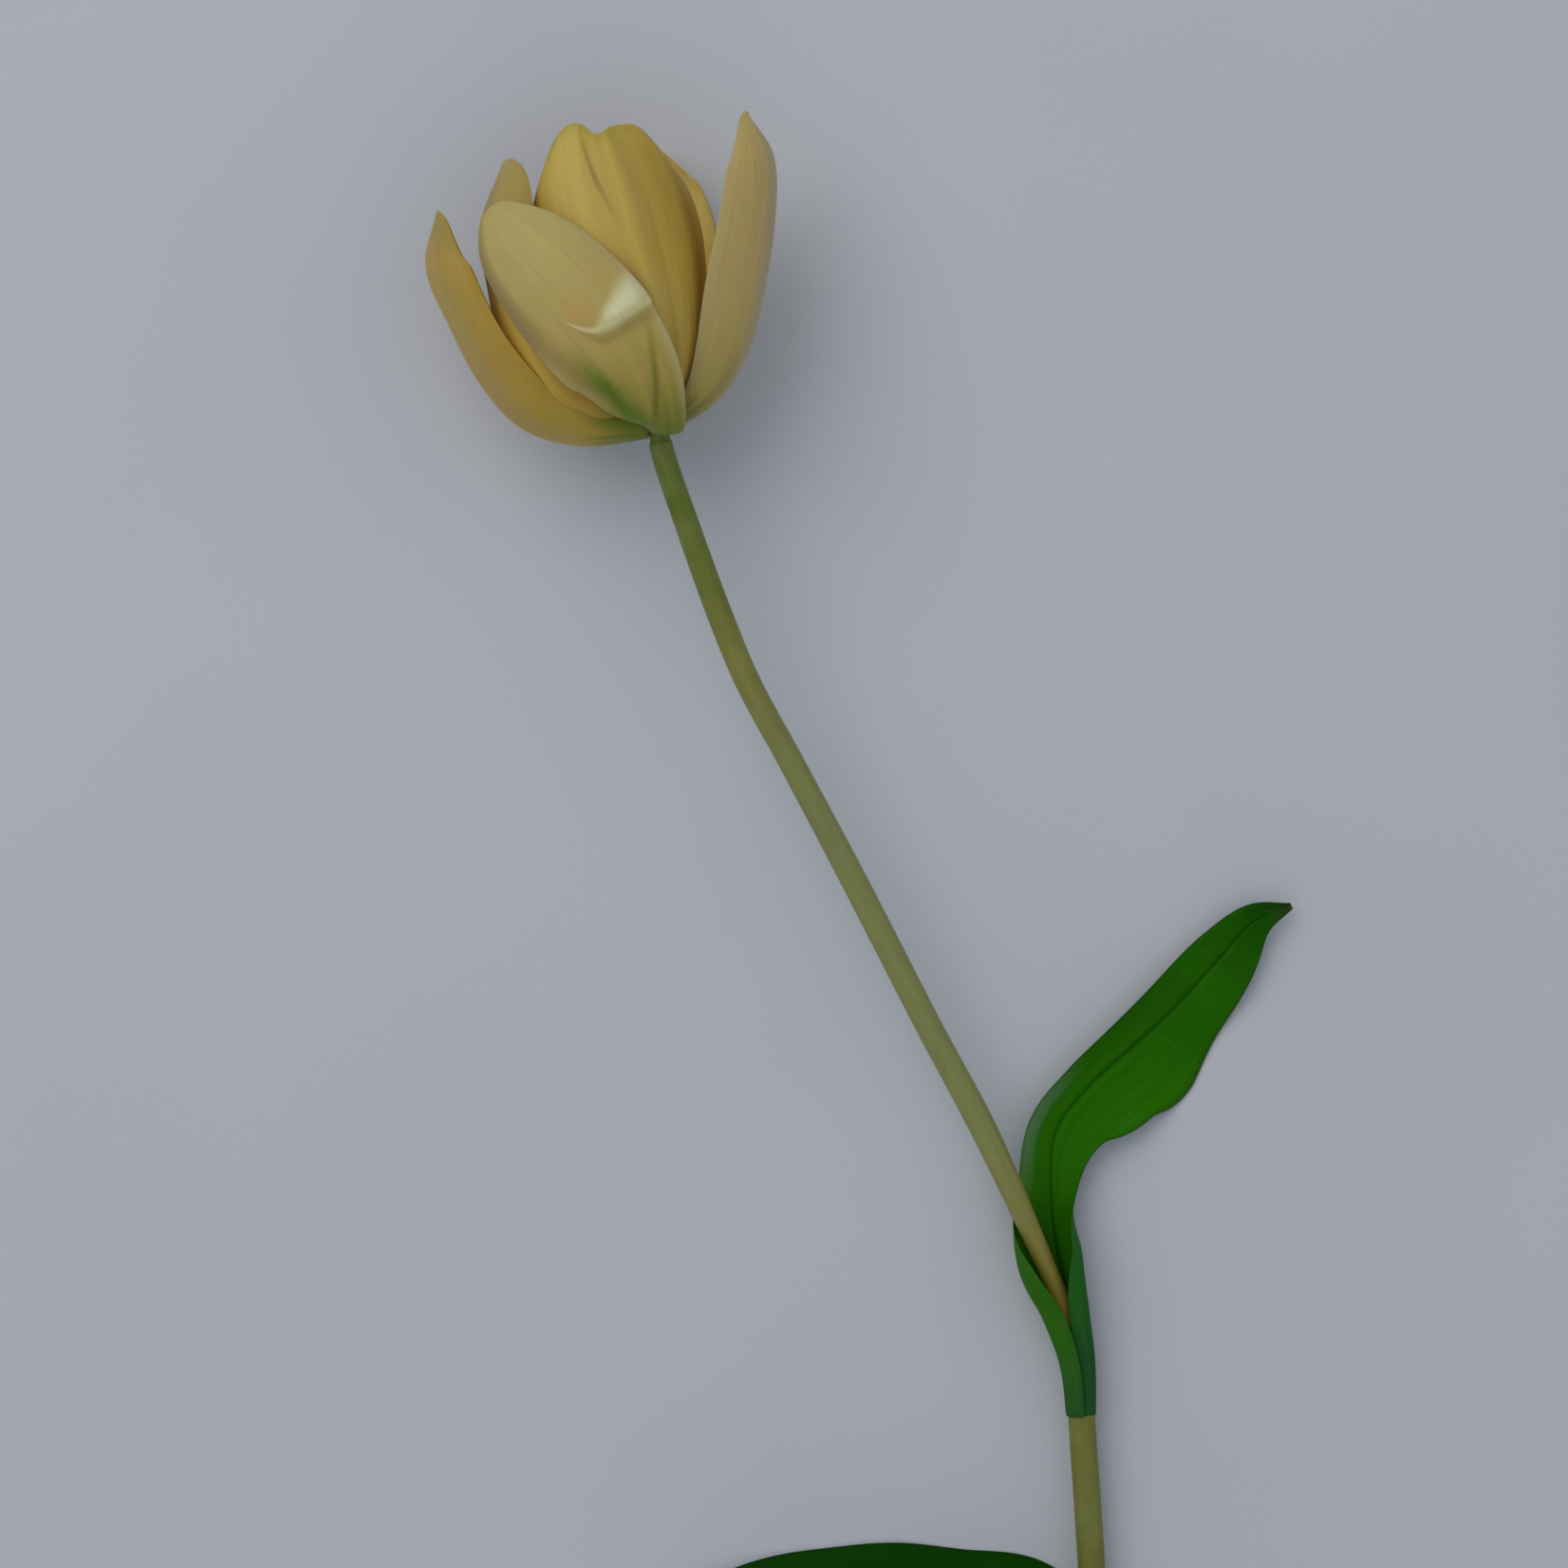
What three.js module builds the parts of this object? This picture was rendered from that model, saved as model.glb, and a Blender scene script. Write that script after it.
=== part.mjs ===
// A cut tulip lying on a table: a bent stem, six tepals in two whorls, a pistil with six
// stamens inside the cup, and two leaves whose bases clasp the stem.
// Millimetres. +Z is up, off the table. Seen from above, +Y runs from the cut end to the flower.
// The origin is on the table, under the centre of the whole flower's bounding box.
import * as THREE from "three";
import { mergeVertices } from "three/addons/utils/BufferGeometryUtils.js";

// ---- driving dimensions -------------------------------------------------------------------

const ORIGIN = new THREE.Vector3(16.6, -56.1, 0); // centre of the bounding box in drawing coordinates

const TEPAL_THICKNESS = 0.7;
const LEAF_THICKNESS = 0.6;
const EDGE_THINNING = 0.45; // share of the thickness that is lost at a blade's margin

const RECEPTACLE_RADIUS = 2.7;

const FLOWER_BASE = new THREE.Vector3(-26.2, 74.2, 24); // where the tepals grow from the stem
const FLOWER_LEAN = 15; // degrees that the flower's axis leans towards -X
const FLOWER_LIFT = 2; // degrees that the flower's axis rises from the table

// Stem centreline and radius, from the cut end up to the receptacle. The stem steps in at the node
// that the upper leaf grows from, so that its sheath is flush with the stem below.
const NODE = { at: 0.27, step: 0.95 };
const STEM_PATH = [
  [70, -252, 3.2, 3.1],
  [68.6, -222, 4.2, 2.9],
  [67, -196, 5.1, 2.5],
  [65.4, -168, 5.4, 2.9],
  [63.6, -141, 5.8, 2.9],
  [62.4, -126, 6, 2.9],
  [59.4, -112, 7.6, 2.9],
  [53.2, -97, 10, 2.9],
  [42.2, -73, 12.6, 2.9],
  [30.2, -50.4, 14.4, 2.8],
  [15.4, -21.6, 16.6, 2.8],
  [1.8, 4, 17.8, 2.7],
  [-7.2, 20.6, 19.4, 2.7],
  [-13.4, 35.4, 20.6, 2.7],
  [-19.8, 53, 22.4, 2.6],
  [-25, 68, 23.6, 2.5],
  [-26.2, 74.2, 24, 2.5],
];

// Each tepal: the azimuth of its midrib about the flower's axis (0 towards +X, -90 straight up
// from the table), its midrib's outline as [distance from the axis, height], how far it drifts
// sideways, its half widths and its cross-section's radius. Lists run evenly from base to tip.
// Blunt is the share of its width left at the tip; crown lifts the tip's edge, across the blade.
const TEPALS = {
  tepal_outer_left: {
    azimuth: 184,
    outline: [[4.6, -0.8], [16, 1], [27.2, 7.8], [33.2, 19], [36.2, 31.5], [38, 45], [33, 56]],
    drift: [0, 0, 0, 0, 0, 0, 0],
    half: [2.6, 13.4, 18.6, 18.8, 17.4, 15.4, 8],
    curl: [5, 13, 15.5, 15.5, 15, 12, 8],
    blunt: 0.45,
  },
  tepal_outer_front: {
    azimuth: -104,
    outline: [[4.6, -0.8], [14.6, 2.4], [24.4, 11.6], [28.4, 23], [28.6, 34], [26.8, 44], [23.6, 52.8]],
    drift: [0, 1.6, 1.8, -1.4, -7, -12.6, -16.6],
    half: [2.6, 8.4, 12, 14.2, 13.8, 10.6, 5.4],
    curl: [5, 14, 19, 20, 19, 16, 12],
    blunt: 0.2,
  },
  tepal_outer_right: {
    azimuth: -12,
    outline: [[4.6, -0.8], [13.6, 3], [22.6, 11.4], [29.2, 23], [35, 36], [38.2, 48.4], [35.4, 59]],
    drift: [0, 0, 0, 0, 0, 0, 0],
    half: [2.6, 11.6, 17, 18.4, 17.4, 14.4, 7],
    curl: [5, 13, 16.5, 17, 16, 13, 8],
    blunt: 0.2,
  },
  tepal_inner_left: {
    azimuth: -167,
    outline: [[3, 1.6], [14.6, 3.6], [23.6, 10.4], [27.8, 22], [28, 35.8], [25.4, 50], [17, 62.4]],
    drift: [0, 0, 0, 0, 0, 0, 0],
    half: [2, 9.4, 12.6, 13, 14.6, 16.4, 14.6],
    curl: [4, 11, 15, 17, 18, 16, 14],
    blunt: 0.35,
  },
  tepal_inner_front: {
    azimuth: -82,
    outline: [[3, 1.6], [11.8, 6.2], [19, 15.6], [22.2, 27.8], [22, 40], [19.4, 52], [16, 62.4]],
    drift: [0, 0.6, 1.2, 1.2, 0.8, 1, 1.6],
    half: [2, 9, 14.4, 19, 21.5, 21, 16],
    curl: [4, 11, 15, 17.5, 19, 18.4, 16],
    blunt: 0.76,
    crown: [-3.2, 0.4, 1, 0.8, -0.8, 2.6, 3, 0.6, -4.5],
  },
  tepal_inner_back: {
    azimuth: 60,
    outline: [[3, 1.6], [11.6, 6.4], [19.2, 15.8], [23.6, 28], [25.7, 40], [25.7, 51], [20.6, 59.6]],
    drift: [0, 0, 0, 0, 0, 0, 0],
    half: [2, 9, 17, 21, 22, 18, 9],
    curl: [4, 11, 16, 18.5, 19, 16, 10],
    blunt: 0.2,
  },
};

// Each leaf: its midrib, the way its inner face looks, its half widths and its cross-section's
// radius on either side of the midrib, and how far its right side slants towards the tip. Lists run evenly from the bottom of the sheath to the tip.
const LEAVES = {
  leaf_upper: {
    midrib: [
      [63.8, -134, 3.3], [63.3, -122.8, 3.1], [61.2, -111.8, 2.7], [58.6, -100.8, 2.6], [56.8, -87.2, 2.6],
      [57.6, -74.2, 2.2], [64.2, -64.8, 2], [72.8, -56.8, 1.6], [82.8, -47.8, 1.6], [92.8, -36.8, 2.2],
      [99.8, -29.2, 3.6], [107.8, -25.8, 4],
    ],
    facing: [
      [-0.2, 0, 1], [-0.2, 0, 1], [-0.2, 0, 1], [-0.2, 0, 1], [-0.1, 0, 1], [0, 0, 1],
      [0.1, 0, 1], [0.15, -0.1, 1], [0.15, -0.1, 1], [0.1, 0, 1], [0.1, 0, 1], [0, 0, 1],
    ],
    left: [10.8, 13, 16.8, 18.4, 9.4, 7.6, 6.8, 7.4, 7.6, 6.4, 4.2, 0.7],
    right: [8.2, 9.6, 12.4, 13, 6.8, 12, 14.8, 15.4, 11, 8.6, 4.2, 0.7],
    curlLeft: [3.1, 3.9, 5.4, 7.6, 7.6, 6.4, 7.4, 12, 16, 16, 12, 5],
    curlRight: [2.65, 3.1, 4.1, 5.6, 6.2, 26, 60, 80, 60, 40, 20, 8],
    slant: [0, 0, 0, 0, 0.05, 0.2, 0.36, 0.28, 0.15, -0.1, 0.1, 0],
  },
  leaf_lower: {
    midrib: [
      [64.4, -214, 4.5], [63.6, -202, 4.8], [62.2, -191, 5.2], [58.6, -181.6, 6], [50, -174, 7],
      [37.4, -172.6, 7.8], [24.6, -171.8, 8.6], [12, -171.8, 8.8], [-1, -173, 8.2], [-12.6, -176.4, 6.6],
      [-22.4, -182.4, 4.4], [-28.6, -189.6, 2.4],
    ],
    facing: [
      [1, 0, 0.2], [1, 0, 0.2], [0.95, 0.2, 0.2], [0.6, 0.75, 0.3], [0.1, 0.9, 0.45], [0, 0.85, 0.55],
      [0, 0.8, 0.6], [0, 0.8, 0.6], [0, 0.75, 0.66], [0, 0.6, 0.8], [0, 0.4, 0.9], [0, 0.2, 1],
    ],
    left: [10.6, 11.6, 13.2, 12.6, 12.4, 12.6, 13, 12.4, 11, 8.6, 5, 0.7],
    right: [14, 15.4, 16.6, 13.4, 12.4, 12.6, 13, 12.4, 11, 8.6, 5, 0.7],
    curlLeft: [3.5, 3.8, 4.8, 7.6, 12, 18, 24, 24, 20, 16, 10, 5],
    curlRight: [4.1, 4.5, 5.6, 7.6, 12, 18, 24, 24, 20, 16, 10, 5],
  },
};

const STAMENS = { count: 6, foot: [3.5, 3.8], height: 20, filamentRadius: 0.75, antherRadius: 1.7, lean: 14 };
const PISTIL = { foot: 2.4, height: 19, radius: 2.8, stigmaRadius: 4.2 };

// ---- shared helpers -----------------------------------------------------------------------

const radians = THREE.MathUtils.degToRad;

// A value read smoothly from a list whose entries are evenly spaced over t = 0..1.
function along(list, t) {
  const last = list.length - 1;
  const i = Math.min(Math.floor(t * last), last - 1);
  const f = t * last - i;
  const [b, c] = [list[i], list[i + 1]];
  const a = list[i - 1] ?? 2 * b - c;
  const d = list[i + 2] ?? 2 * c - b;
  const cubic = (-a + 3 * b - 3 * c + d) * f ** 3;
  return 0.5 * (2 * b + (c - a) * f + (2 * a - 5 * b + 4 * c - d) * f ** 2 + cubic);
}

function smoothPath(points) {
  const vectors = points.map((p) => new THREE.Vector3(...p));
  return new THREE.CatmullRomCurve3(vectors, false, "catmullrom", 0.5);
}

// Moves every vertex of a closed primitive and welds the corners that its faces share.
function reshape(primitive, place) {
  primitive.deleteAttribute("normal");
  primitive.deleteAttribute("uv");
  const geometry = mergeVertices(primitive);
  const position = geometry.getAttribute("position");
  const vertex = new THREE.Vector3();
  for (let i = 0; i < position.count; i += 1) {
    vertex.fromBufferAttribute(position, i);
    place(vertex);
    position.setXYZ(i, vertex.x, vertex.y, vertex.z);
  }
  geometry.computeVertexNormals();
  return geometry;
}

// A thin curved blade. surface(u, v) gives its middle surface for u = -1..1 across and
// v = 0..1 from base to tip; the blade is thinner at its margins than along its midrib.
function bladeGeometry(surface, thickness, across, lengthwise) {
  const step = 1e-3;
  const box = new THREE.BoxGeometry(2, 1, 1, across, lengthwise, 1);
  return reshape(box, (vertex) => {
    const u = vertex.x;
    const v = vertex.y + 0.5 + 0.12 * Math.cos(vertex.y * Math.PI);
    const side = vertex.z * 2;
    const here = surface(u, v);
    const du = surface(Math.min(u + step, 1), v).sub(surface(Math.max(u - step, -1), v));
    const dv = surface(u, Math.min(v + step, 1)).sub(surface(u, Math.max(v - step, 0)));
    const normal = du.cross(dv).normalize();
    const half = (thickness / 2) * (1 - EDGE_THINNING * u ** 4);
    vertex.copy(here).addScaledVector(normal, side * half);
  });
}

// The cross-section of a blade: an arc on each side of the midrib, turned towards `facing`.
function bladePoint(spine, facing, half, radius, u, slant = 0) {
  const tangent = spine.tangent.clone().normalize();
  const inward = facing.clone().addScaledVector(tangent, -facing.dot(tangent)).normalize();
  const sideways = new THREE.Vector3().crossVectors(tangent, inward);
  const angle = (u * half) / radius;
  return spine.point
    .clone()
    .addScaledVector(sideways, radius * Math.sin(angle))
    .addScaledVector(tangent, slant * radius * Math.sin(angle))
    .addScaledVector(inward, radius * (1 - Math.cos(angle)));
}

// Narrows a blade to a rounded end over its last part.
function roundedEnd(v, blunt) {
  const t = Math.max(0, (v - 0.86) / 0.14);
  return blunt + (1 - blunt) * Math.sqrt(Math.max(1 - t * t, 0));
}

function material(color, roughness) {
  return new THREE.MeshStandardMaterial({ color, roughness, metalness: 0 });
}

const tepalMaterial = material(0xc9b869, 0.6);
const stemMaterial = material(0x7d8638, 0.55);
const leafMaterial = material(0x2f6a12, 0.45);
const pistilMaterial = material(0xa9b46a, 0.5);
const stamenMaterial = material(0xb09a45, 0.7);

function piece(name, geometry, look) {
  const mesh = new THREE.Mesh(geometry, look);
  mesh.name = name;
  return mesh;
}

// ---- stem ---------------------------------------------------------------------------------

// Slim inside the upper sheath and just under the flower, then flared to the receptacle.
function stemRadius(t) {
  const { smoothstep, lerp } = THREE.MathUtils;
  const sheathed = NODE.step * smoothstep(t, NODE.at, NODE.at + 0.008) * (1 - smoothstep(t, 0.4, 0.52));
  const neck = 0.3 * smoothstep(t, 0.966, 0.972);
  const radius = along(STEM_PATH.map((p) => p[3]), t);
  return lerp(radius - sheathed - neck, RECEPTACLE_RADIUS, smoothstep(t, 0.988, 0.999));
}

function makeStem() {
  const path = smoothPath(STEM_PATH);
  const up = new THREE.Vector3(0, 0, 1);
  const tube = new THREE.CylinderGeometry(1, 1, 1, 12, 104);
  const geometry = reshape(tube, (vertex) => {
    const t = vertex.y + 0.5;
    const tangent = path.getTangent(t);
    const sideways = new THREE.Vector3().crossVectors(tangent, up).normalize();
    const above = new THREE.Vector3().crossVectors(sideways, tangent);
    const radius = stemRadius(t);
    const { x, z } = vertex;
    vertex
      .copy(path.getPoint(t))
      .addScaledVector(sideways, x * radius)
      .addScaledVector(above, z * radius);
  });
  return piece("stem", geometry, stemMaterial);
}

// ---- tepals -------------------------------------------------------------------------------

// Flower coordinates to drawing coordinates: Z is the flower's axis and X its azimuth 0.
function flowerMatrix() {
  const lean = radians(FLOWER_LEAN);
  const lift = radians(FLOWER_LIFT);
  const axis = new THREE.Vector3(-Math.sin(lean) * Math.cos(lift), Math.cos(lean) * Math.cos(lift), Math.sin(lift));
  const right = new THREE.Vector3(Math.cos(lean), Math.sin(lean), 0);
  const down = new THREE.Vector3().crossVectors(axis, right);
  return new THREE.Matrix4().makeBasis(right, down, axis).setPosition(FLOWER_BASE);
}

function tepalSurface({ azimuth, outline, drift, half, curl, blunt, crown = [0, 0] }) {
  const turn = radians(azimuth);
  const radial = new THREE.Vector3(Math.cos(turn), Math.sin(turn), 0);
  const around = new THREE.Vector3(-Math.sin(turn), Math.cos(turn), 0);
  const axis = new THREE.Vector3(0, 0, 1);
  const points = outline.map(([r, h], i) =>
    radial.clone().multiplyScalar(r).addScaledVector(axis, h).addScaledVector(around, drift[i]).toArray(),
  );
  const midrib = smoothPath(points);
  const facing = radial.clone().negate();
  return (u, v) => {
    const spine = { point: midrib.getPoint(v), tangent: midrib.getTangent(v) };
    const lift = along(crown, (u + 1) / 2) * THREE.MathUtils.smoothstep(v, 0.72, 1);
    return bladePoint(spine, facing, along(half, v) * roundedEnd(v, blunt), along(curl, v), u).addScaledVector(
      spine.tangent,
      lift,
    );
  };
}

function makeTepal(name) {
  const geometry = bladeGeometry(tepalSurface(TEPALS[name]), TEPAL_THICKNESS, 10, 20);
  return piece(name, geometry, tepalMaterial);
}

// ---- pistil and stamens -------------------------------------------------------------------

// Three-sided ovary with a broad three-lobed stigma on top.
function makePistil() {
  const post = new THREE.CylinderGeometry(1, 1, 1, 18, 12);
  const geometry = reshape(post, (vertex) => {
    const t = vertex.y + 0.5;
    const angle = Math.atan2(vertex.z, vertex.x);
    const spread = Math.hypot(vertex.x, vertex.z);
    const lobes = 0.1 * Math.cos(3 * angle);
    const crown = THREE.MathUtils.smoothstep(t, 0.78, 0.94);
    const radius = THREE.MathUtils.lerp(PISTIL.radius * (1 + lobes), PISTIL.stigmaRadius * (1 + 2.4 * lobes), crown);
    const waist = 1 - 0.25 * Math.exp(-(((t - 0.76) / 0.08) ** 2)) - 0.25 * (1 - t) ** 3;
    vertex.set(
      Math.cos(angle) * spread * radius * waist,
      -Math.sin(angle) * spread * radius * waist,
      PISTIL.foot + t * PISTIL.height,
    );
  });
  return piece("pistil", geometry, pistilMaterial);
}

// A tapering filament that carries a long two-lobed anther.
function makeStamen(index) {
  const post = new THREE.CylinderGeometry(1, 1, 1, 8, 12);
  const geometry = reshape(post, (vertex) => {
    const t = vertex.y + 0.5;
    const anther = THREE.MathUtils.smoothstep(t, 0.42, 0.5) * (1 - THREE.MathUtils.smoothstep(t, 0.9, 1.04));
    const radius = THREE.MathUtils.lerp(STAMENS.filamentRadius * (1.15 - 0.7 * t), STAMENS.antherRadius, anther);
    vertex.set(vertex.x * radius, -vertex.z * radius * (1 - 0.25 * anther), t * STAMENS.height);
  });
  const stamen = piece(`stamen_${index + 1}`, geometry, stamenMaterial);
  const azimuth = (index * 2 * Math.PI) / STAMENS.count;
  const leanOut = radians(STAMENS.lean);
  stamen.rotation.set(0, leanOut, azimuth, "ZYX");
  const [ring, foot] = STAMENS.foot;
  stamen.position.set(ring * Math.cos(azimuth), ring * Math.sin(azimuth), foot);
  return stamen;
}

// ---- leaves -------------------------------------------------------------------------------

function leafSurface({ midrib, facing, left, right, curlLeft, curlRight, slant = [0, 0] }) {
  const path = smoothPath(midrib);
  const looks = smoothPath(facing);
  return (u, v) => {
    const spine = { point: path.getPoint(v), tangent: path.getTangent(v) };
    const half = along(u < 0 ? left : right, v);
    const radius = along(u < 0 ? curlLeft : curlRight, v);
    return bladePoint(spine, looks.getPoint(v), half, radius, u, along(slant, v) * Math.max(u, 0));
  };
}

function makeLeaf(name) {
  const geometry = bladeGeometry(leafSurface(LEAVES[name]), LEAF_THICKNESS, 12, 30);
  return piece(name, geometry, leafMaterial);
}

// ---- the whole flower ---------------------------------------------------------------------

const flower = new THREE.Group();
flower.applyMatrix4(flowerMatrix());
for (const name of Object.keys(TEPALS)) flower.add(makeTepal(name));
flower.add(makePistil());
for (let i = 0; i < STAMENS.count; i += 1) flower.add(makeStamen(i));

const tulip = new THREE.Group();
tulip.add(makeStem(), flower);
for (const name of Object.keys(LEAVES)) tulip.add(makeLeaf(name));
tulip.position.copy(ORIGIN).negate();

export default tulip;
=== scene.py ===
import math

import bmesh
import bpy
from mathutils import Matrix, Vector, noise


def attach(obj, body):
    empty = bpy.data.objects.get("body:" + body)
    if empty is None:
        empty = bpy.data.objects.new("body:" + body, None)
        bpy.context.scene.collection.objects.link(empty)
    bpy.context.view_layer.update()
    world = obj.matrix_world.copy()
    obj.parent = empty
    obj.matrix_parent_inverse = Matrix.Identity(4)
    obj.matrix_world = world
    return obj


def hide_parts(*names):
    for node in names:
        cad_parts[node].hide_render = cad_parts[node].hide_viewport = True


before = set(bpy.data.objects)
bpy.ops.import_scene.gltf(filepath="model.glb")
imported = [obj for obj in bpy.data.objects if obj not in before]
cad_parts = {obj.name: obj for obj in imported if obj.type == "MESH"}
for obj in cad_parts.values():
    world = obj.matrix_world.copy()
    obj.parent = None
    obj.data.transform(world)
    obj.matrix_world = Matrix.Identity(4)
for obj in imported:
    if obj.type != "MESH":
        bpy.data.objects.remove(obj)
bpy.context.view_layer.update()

# The flower was drawn in millimetres about another origin, this far from the model's own.
drawing = {"origin": Vector((16.6, -56.1, 0)), "scale": 0.001}


def smooth(low, high, x):
    t = min(max((x - low) / (high - low), 0), 1)
    return t * t * (3 - 2 * t)


def bell(x, centre, width):
    return math.exp(-((x - centre) / width) ** 2)


def along(values, t):  # a value read smoothly from an evenly spaced list, t from 0 to 1
    last = len(values) - 1
    i = min(int(t * last), last - 1)
    f = t * last - i
    b, c = values[i], values[i + 1]
    a = values[i - 1] if i > 0 else 2 * b - c
    d = values[i + 2] if i + 2 <= last else 2 * c - b
    return 0.5 * (2 * b + (c - a) * f + (2 * a - 5 * b + 4 * c - d) * f ** 2 + (3 * b - a - 3 * c + d) * f ** 3)


def rested(point):  # what would sink into the table bears on it instead
    if point.z < 1:
        point.z = 0.45 + 0.55 * math.exp((point.z - 1) / 0.55)
    return point


def direction(points, t):
    low, high = max(t - 0.0005, 0), min(t + 0.0005, 1)
    return (along(points, high) - along(points, low)).normalized()


def linear(colour):  # sRGB hex to linear RGBA
    parts = [int(colour[i:i + 2], 16) / 255 for i in (1, 3, 5)]
    return tuple(p / 12.92 if p <= 0.04045 else ((p + 0.055) / 1.055) ** 2.4 for p in parts) + (1,)


# Settings are the node's own properties, with "stops" for a colour ramp. Inputs are sockets to link,
# hex colours or numbers, under the names or numbers of the node's own sockets.
def addNode(tree, kind, settings, inputs, output=0):
    node = tree.nodes.new("ShaderNode" + kind)
    for name, value in settings.items():
        if name == "stops":
            ramp = node.color_ramp
            while len(ramp.elements) < len(value):
                ramp.elements.new(0.5)
            for element, (place, colour) in zip(ramp.elements, value):
                element.position = place
                element.color = linear(colour)
        else:
            setattr(node, name, value)
    for name, value in inputs.items():
        if isinstance(value, bpy.types.NodeSocket):
            tree.links.new(value, node.inputs[name])
        else:
            node.inputs[name].default_value = linear(value) if isinstance(value, str) else value
    return node.outputs[output] if node.outputs else node


def newMaterial(name):
    material = bpy.data.materials.new(name)
    material.use_nodes = True
    material.node_tree.nodes.clear()
    return material, material.node_tree


def bladeMap(tree):  # the blade's UV map, then the place across it from -1 to 1 and along it from 0 to 1
    uv = addNode(tree, "UVMap", {"uv_map": "blade"}, {})
    x = addNode(tree, "SeparateXYZ", {}, {0: uv})
    return uv, addNode(tree, "Math", {"operation": "MULTIPLY_ADD"}, {0: x, 1: 2.0, 2: -1.0}), x.node.outputs[1]


def grainAlong(tree, uv, stretch, detail, roughness):  # noise drawn out along the blade
    drawn = addNode(tree, "VectorMath", {"operation": "MULTIPLY"}, {0: uv, 1: stretch})
    return addNode(tree, "TexNoise", {}, {"Vector": drawn, "Scale": 1.0, "Detail": detail, "Roughness": roughness})


# Another colour, absent where the guide is at start and as strong as amount where it reaches full.
def wash(tree, colour, tint, guide, start, full, amount, edge="SMOOTHSTEP"):
    strength = addNode(tree, "MapRange", {"interpolation_type": edge}, {0: guide, 1: start, 2: full, 3: 0.0, 4: amount})
    return addNode(tree, "Mix", {"data_type": "RGBA"}, {0: strength, 6: colour, 7: tint}, 2)


def mottle(tree, colour, grain, darkest, lightest):  # the grain darkens and lightens the colour
    shade = addNode(tree, "MapRange", {}, {0: grain, 1: 0.3, 2: 0.7, 3: darkest, 4: lightest})
    grey = addNode(tree, "CombineColor", {}, {0: shade, 1: shade, 2: shade})
    return addNode(tree, "Mix", {"data_type": "RGBA", "blend_type": "MULTIPLY"}, {0: 1.0, 6: colour, 7: grey}, 2)


def finishPiece(bm, name, node, materials, thickness=None, levels=1):
    bmesh.ops.translate(bm, verts=bm.verts, vec=-drawing["origin"])
    bmesh.ops.scale(bm, verts=bm.verts, vec=Vector((1, 1, 1)) * drawing["scale"])
    mesh = bpy.data.meshes.new(name)
    for face in bm.faces:
        face.smooth = True
    bm.to_mesh(mesh)
    bm.free()
    for material in materials:
        mesh.materials.append(material)
    piece = bpy.data.objects.new(name, mesh)
    bpy.context.scene.collection.objects.link(piece)
    if thickness:
        group = piece.vertex_groups.new(name="thickness")
        for vertex, weight in thickness["weights"].items():
            group.add([vertex], weight, "REPLACE")
        wall = piece.modifiers.new("wall", "SOLIDIFY")
        wall.thickness = thickness["mm"] * 0.001
        wall.offset = 0
        wall.vertex_group = "thickness"
        wall.thickness_vertex_group = 0.25
        wall.material_offset = 1
        wall.material_offset_rim = 1
    if levels:
        surface = piece.modifiers.new("surface", "SUBSURF")
        surface.levels = surface.render_levels = levels
    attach(piece, "root")
    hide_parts(node)
    return piece


hookStart = 0.1  # how far past the midrib a hooked streak begins to bend


# A soft streak along the blade, or across it where "over" is set. Its middle line is at, moved by drift
# along its length; its half width changes by taper; it runs between the two ends in reach.
def addMark(tree, colour, u, v, streaks, mark):
    side, length = (v, u) if mark.get("over") else (u, v)
    low, high = mark["reach"]
    soft, ragged = mark.get("soft", 0.12), mark.get("ragged", 0.1)
    middle = addNode(tree, "Math", {"operation": "MULTIPLY_ADD"}, {0: length, 1: mark["drift"], 2: mark["at"]})
    if "hook" in mark:  # the far end of the streak bends up
        past = addNode(tree, "Math", {"operation": "ADD"}, {0: length, 1: hookStart})
        past = addNode(tree, "Math", {"operation": "MAXIMUM"}, {0: past, 1: 0.0})
        past = addNode(tree, "Math", {"operation": "MULTIPLY"}, {0: past, 1: past})
        middle = addNode(tree, "Math", {"operation": "MULTIPLY_ADD"}, {0: past, 1: mark["hook"], 2: middle})
    offset = addNode(tree, "Math", {"operation": "SUBTRACT"}, {0: middle, 1: side})
    offset = addNode(tree, "Math", {"operation": "SUBTRACT"}, {0: offset, 1: ragged / 2})
    offset = addNode(tree, "Math", {"operation": "MULTIPLY_ADD"}, {0: streaks, 1: ragged, 2: offset})
    offset = addNode(tree, "Math", {"operation": "ABSOLUTE"}, {0: offset})
    width = addNode(tree, "Math", {"operation": "MULTIPLY_ADD"}, {0: length, 1: mark.get("taper", 0), 2: mark["width"]})
    strength = addNode(tree, "MapRange", {"interpolation_type": "SMOOTHERSTEP"},
                       {0: offset, 1: width, 2: 0.0, 3: 0.0, 4: mark["amount"]})
    for outside, inside in ((low - soft, low + soft), (high + soft, high - soft)):
        end = addNode(tree, "MapRange", {"interpolation_type": "SMOOTHSTEP"}, {0: length, 1: outside, 2: inside})
        strength = addNode(tree, "Math", {"operation": "MULTIPLY"}, {0: strength, 1: end})
    return addNode(tree, "Mix", {"data_type": "RGBA"}, {0: strength, 6: colour, 7: mark["colour"]}, 2)


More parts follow.
